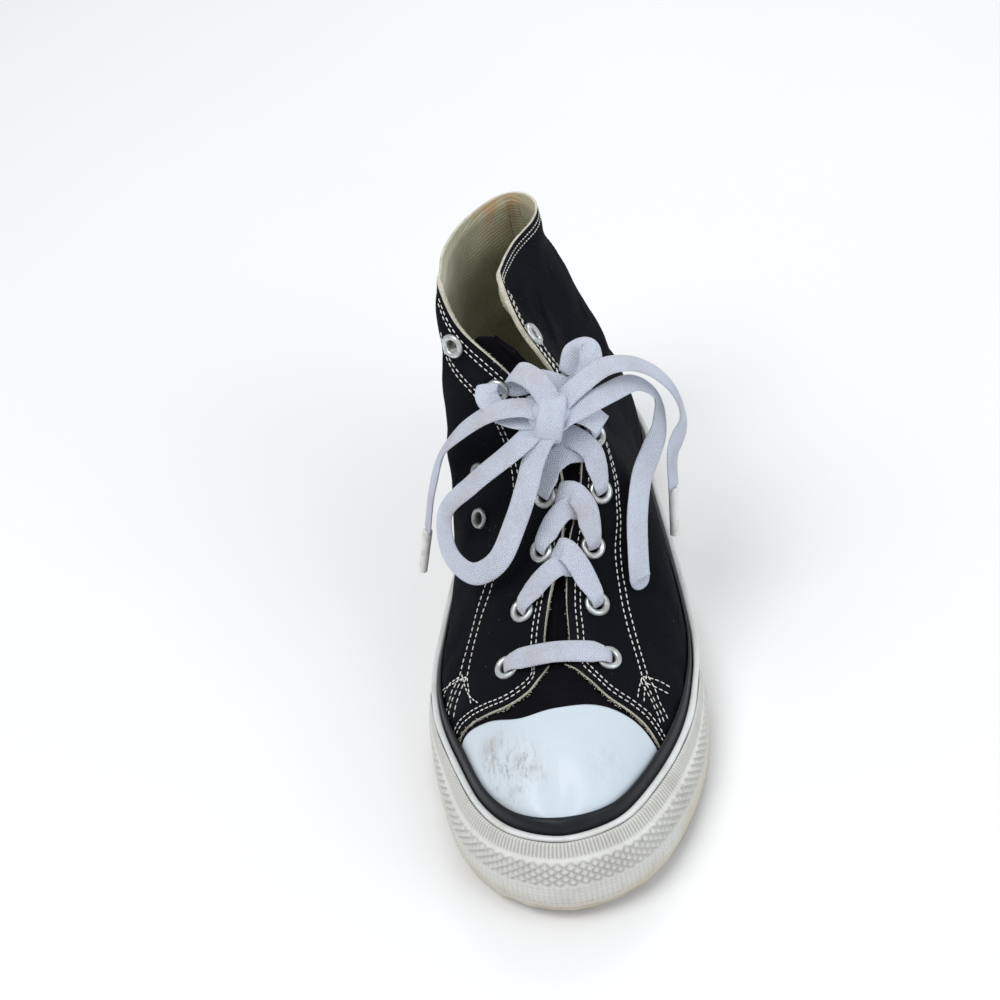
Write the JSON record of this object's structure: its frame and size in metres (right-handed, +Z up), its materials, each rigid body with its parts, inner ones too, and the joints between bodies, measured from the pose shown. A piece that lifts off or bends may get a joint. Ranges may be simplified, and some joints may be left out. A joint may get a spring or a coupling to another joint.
{
  "type": "high-top canvas sneaker",
  "caption": "Worn high-top canvas sneaker with a white toe cap, rubber foxing and bumper, metal eyelets and a tied flat lace.",
  "frame": {"origin": "on the floor under the middle of the shoe's box, measured without the bow", "axes": "+Y from toe to heel, +X to the outer side of the foot, +Z up from the floor"},
  "size_m": [0.1079, 0.273, 0.151],
  "materials": {
    "sole_rubber": "matte, dirty",
    "white_rubber": "matte, soiled",
    "cap_rubber": "satin, scuffed",
    "black_rubber": "satin",
    "black_canvas": "plain weave",
    "lining_cloth": "plain weave, stained",
    "patch_rubber": "satin, bare",
    "eyelet_metal": "dull",
    "lace_cloth": "flat braid",
    "lace_tip": "pale"
  },
  "bodies": {
    "root": {"outsole": "sole_rubber", "foxing": "white_rubber", "toe_bumper": "white_rubber", "toe_cap": "cap_rubber", "toe_stripe": "black_rubber", "upper": "black_canvas", "tongue": "black_canvas", "insole": "lining_cloth", "ankle_patch": "patch_rubber", "eyelet_outer_1": "eyelet_metal", "eyelet_outer_2": "eyelet_metal", "eyelet_outer_3": "eyelet_metal", "eyelet_outer_4": "eyelet_metal", "eyelet_outer_5": "eyelet_metal", "eyelet_outer_6": "eyelet_metal", "eyelet_outer_7": "eyelet_metal", "eyelet_inner_1": "eyelet_metal", "eyelet_inner_2": "eyelet_metal", "eyelet_inner_3": "eyelet_metal", "eyelet_inner_4": "eyelet_metal", "eyelet_inner_5": "eyelet_metal", "eyelet_inner_6": "eyelet_metal", "eyelet_inner_7": "eyelet_metal", "eyelet_vent_1": "eyelet_metal", "eyelet_vent_2": "eyelet_metal", "lace_bar_1": "lace_cloth", "lace_cross_2": "lace_cloth", "lace_cross_3": "lace_cloth", "lace_cross_4": "lace_cloth", "lace_cross_5": "lace_cloth", "lace_knot": "lace_cloth", "lace_tail_inner": "lace_cloth", "lace_tail_outer": "lace_cloth", "lace_loop_inner": "lace_cloth", "lace_loop_outer": "lace_cloth", "lace_end_inner": "lace_cloth", "lace_end_outer": "lace_cloth", "aglet_inner": "lace_tip", "aglet_outer": "lace_tip"}
  },
  "joints": []
}
